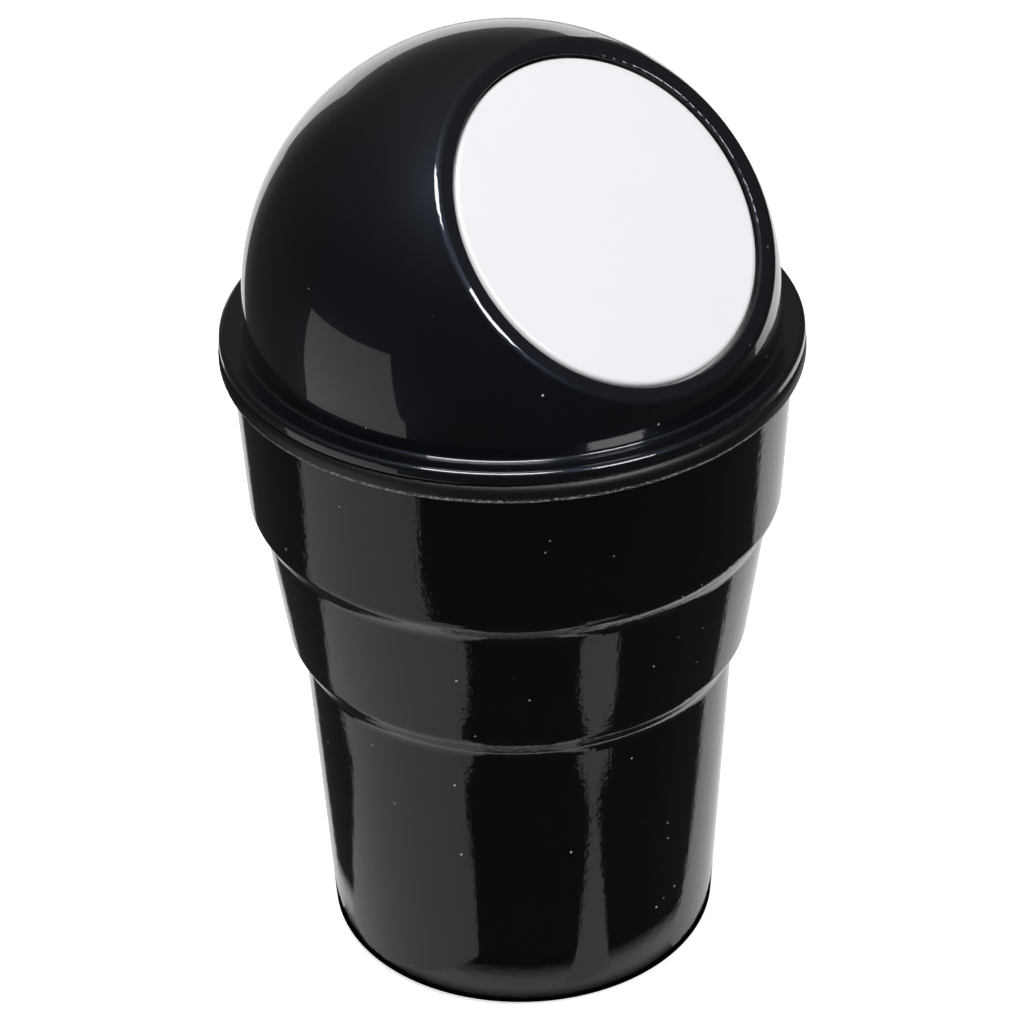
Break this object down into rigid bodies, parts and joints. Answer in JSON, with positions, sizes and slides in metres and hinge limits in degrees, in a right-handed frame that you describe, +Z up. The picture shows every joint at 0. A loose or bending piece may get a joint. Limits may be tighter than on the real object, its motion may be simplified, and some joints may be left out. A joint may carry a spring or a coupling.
{
  "type": "car caddy litter bin",
  "caption": "Small black litter bin for a car's cup holder: stepped tapered cup, lift-off domed lid, and a sprung round white push flap in the dome's slanted opening.",
  "frame": {"origin": "centre of the foot ring, on the surface that the bin stands on", "axes": "+Z up along the bin's axis, -Y towards the flap's side (the front), +X to the right seen from the front"},
  "size_m": [0.0948, 0.0948, 0.1643],
  "materials": {
    "cup_plastic": "moulded gloss black",
    "lid_plastic": "polished gloss black",
    "flap_plastic": "moulded white, low gloss",
    "pin_steel": "drawn bright",
    "spring_steel": "drawn wire"
  },
  "bodies": {
    "bin": {"bin_body": "cup_plastic"},
    "lid": {"dome_lid": "lid_plastic", "hinge_pin": "pin_steel", "return_spring": "spring_steel"},
    "flap": {"push_flap": "flap_plastic"}
  },
  "joints": [
    {"name": "lid_lift", "type": "slide", "parent": "bin", "child": "lid", "axis": [0, 0, 1], "range_m": [0, 0.08]},
    {"name": "flap_hinge", "type": "hinge", "parent": "lid", "child": "flap", "pos_m": [0, 0.00011, 0.15519], "axis": [1, 0, 0], "range_deg": [0, 80], "stiffness_Nm_per_rad": 0.012, "springref_deg": -68.75, "deforming": ["return_spring"]}
  ]
}
